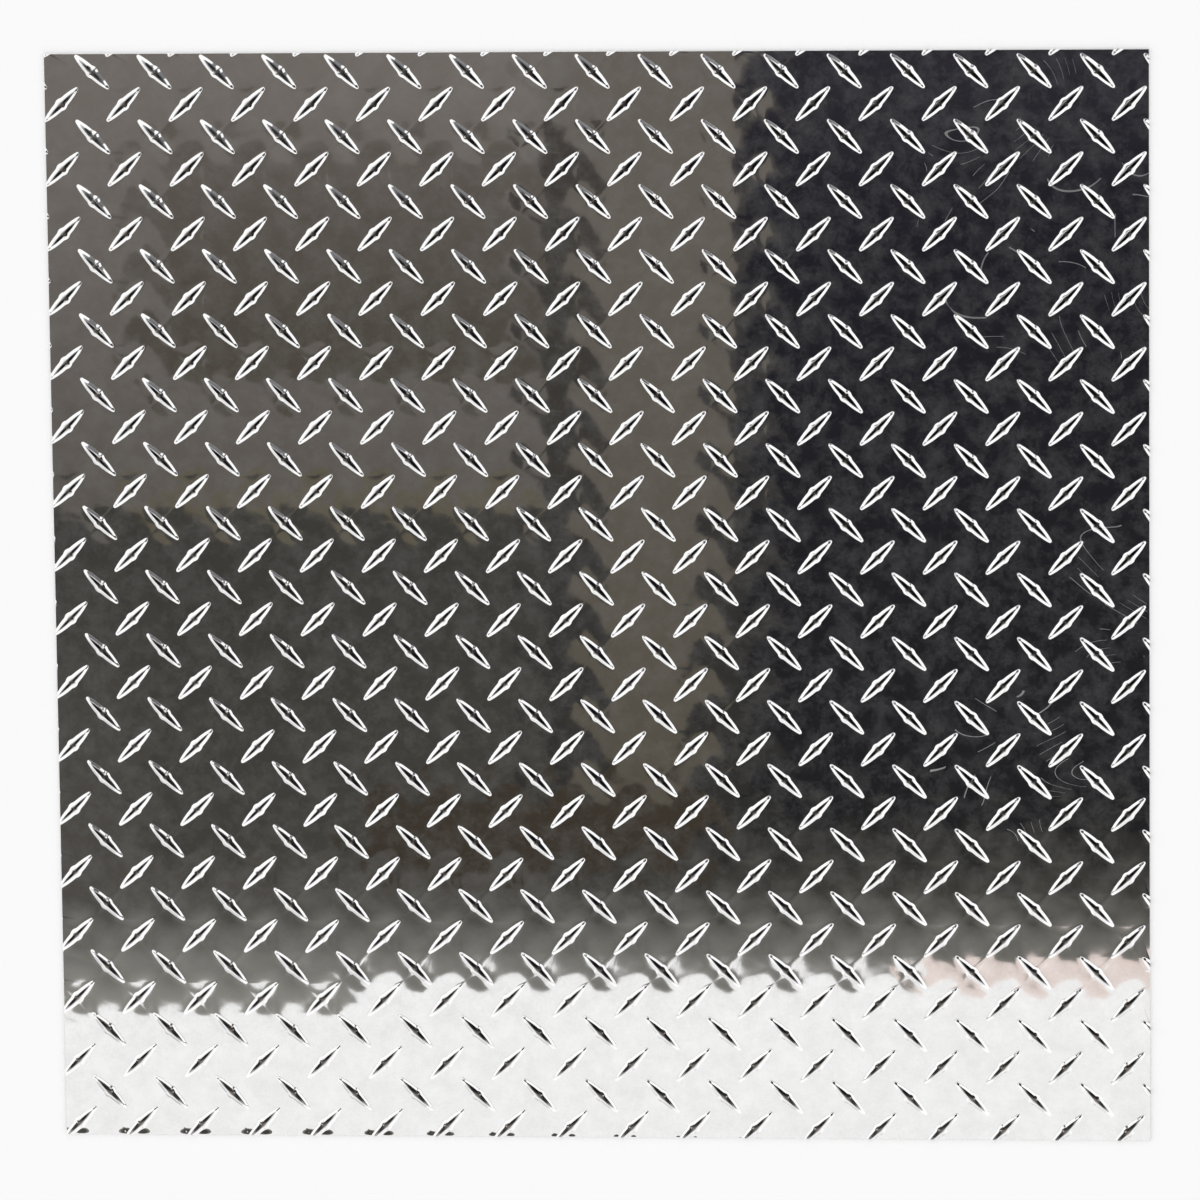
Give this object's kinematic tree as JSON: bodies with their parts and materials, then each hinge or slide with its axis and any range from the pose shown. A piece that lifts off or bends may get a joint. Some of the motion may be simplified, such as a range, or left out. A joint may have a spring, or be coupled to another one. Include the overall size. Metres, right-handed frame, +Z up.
{
  "type": "aluminum tread plate",
  "caption": "Flat square aluminum tread plate with raised lens-shaped lugs leaning alternately left and right on its upper face, for slip-resistant floors, steps and linings.",
  "frame": {"origin": "centre of the flat underside, which lies on the floor", "axes": "+Z up through the thickness towards the lugged face; +X to the right and +Y to the top of the plate as the picture shows it"},
  "size_m": [0.6096, 0.6096, 0.0028],
  "materials": {
    "tread_plate": "bright mill finish, near mirror"
  },
  "bodies": {
    "root": {"tread_plate": "tread_plate"}
  },
  "joints": []
}
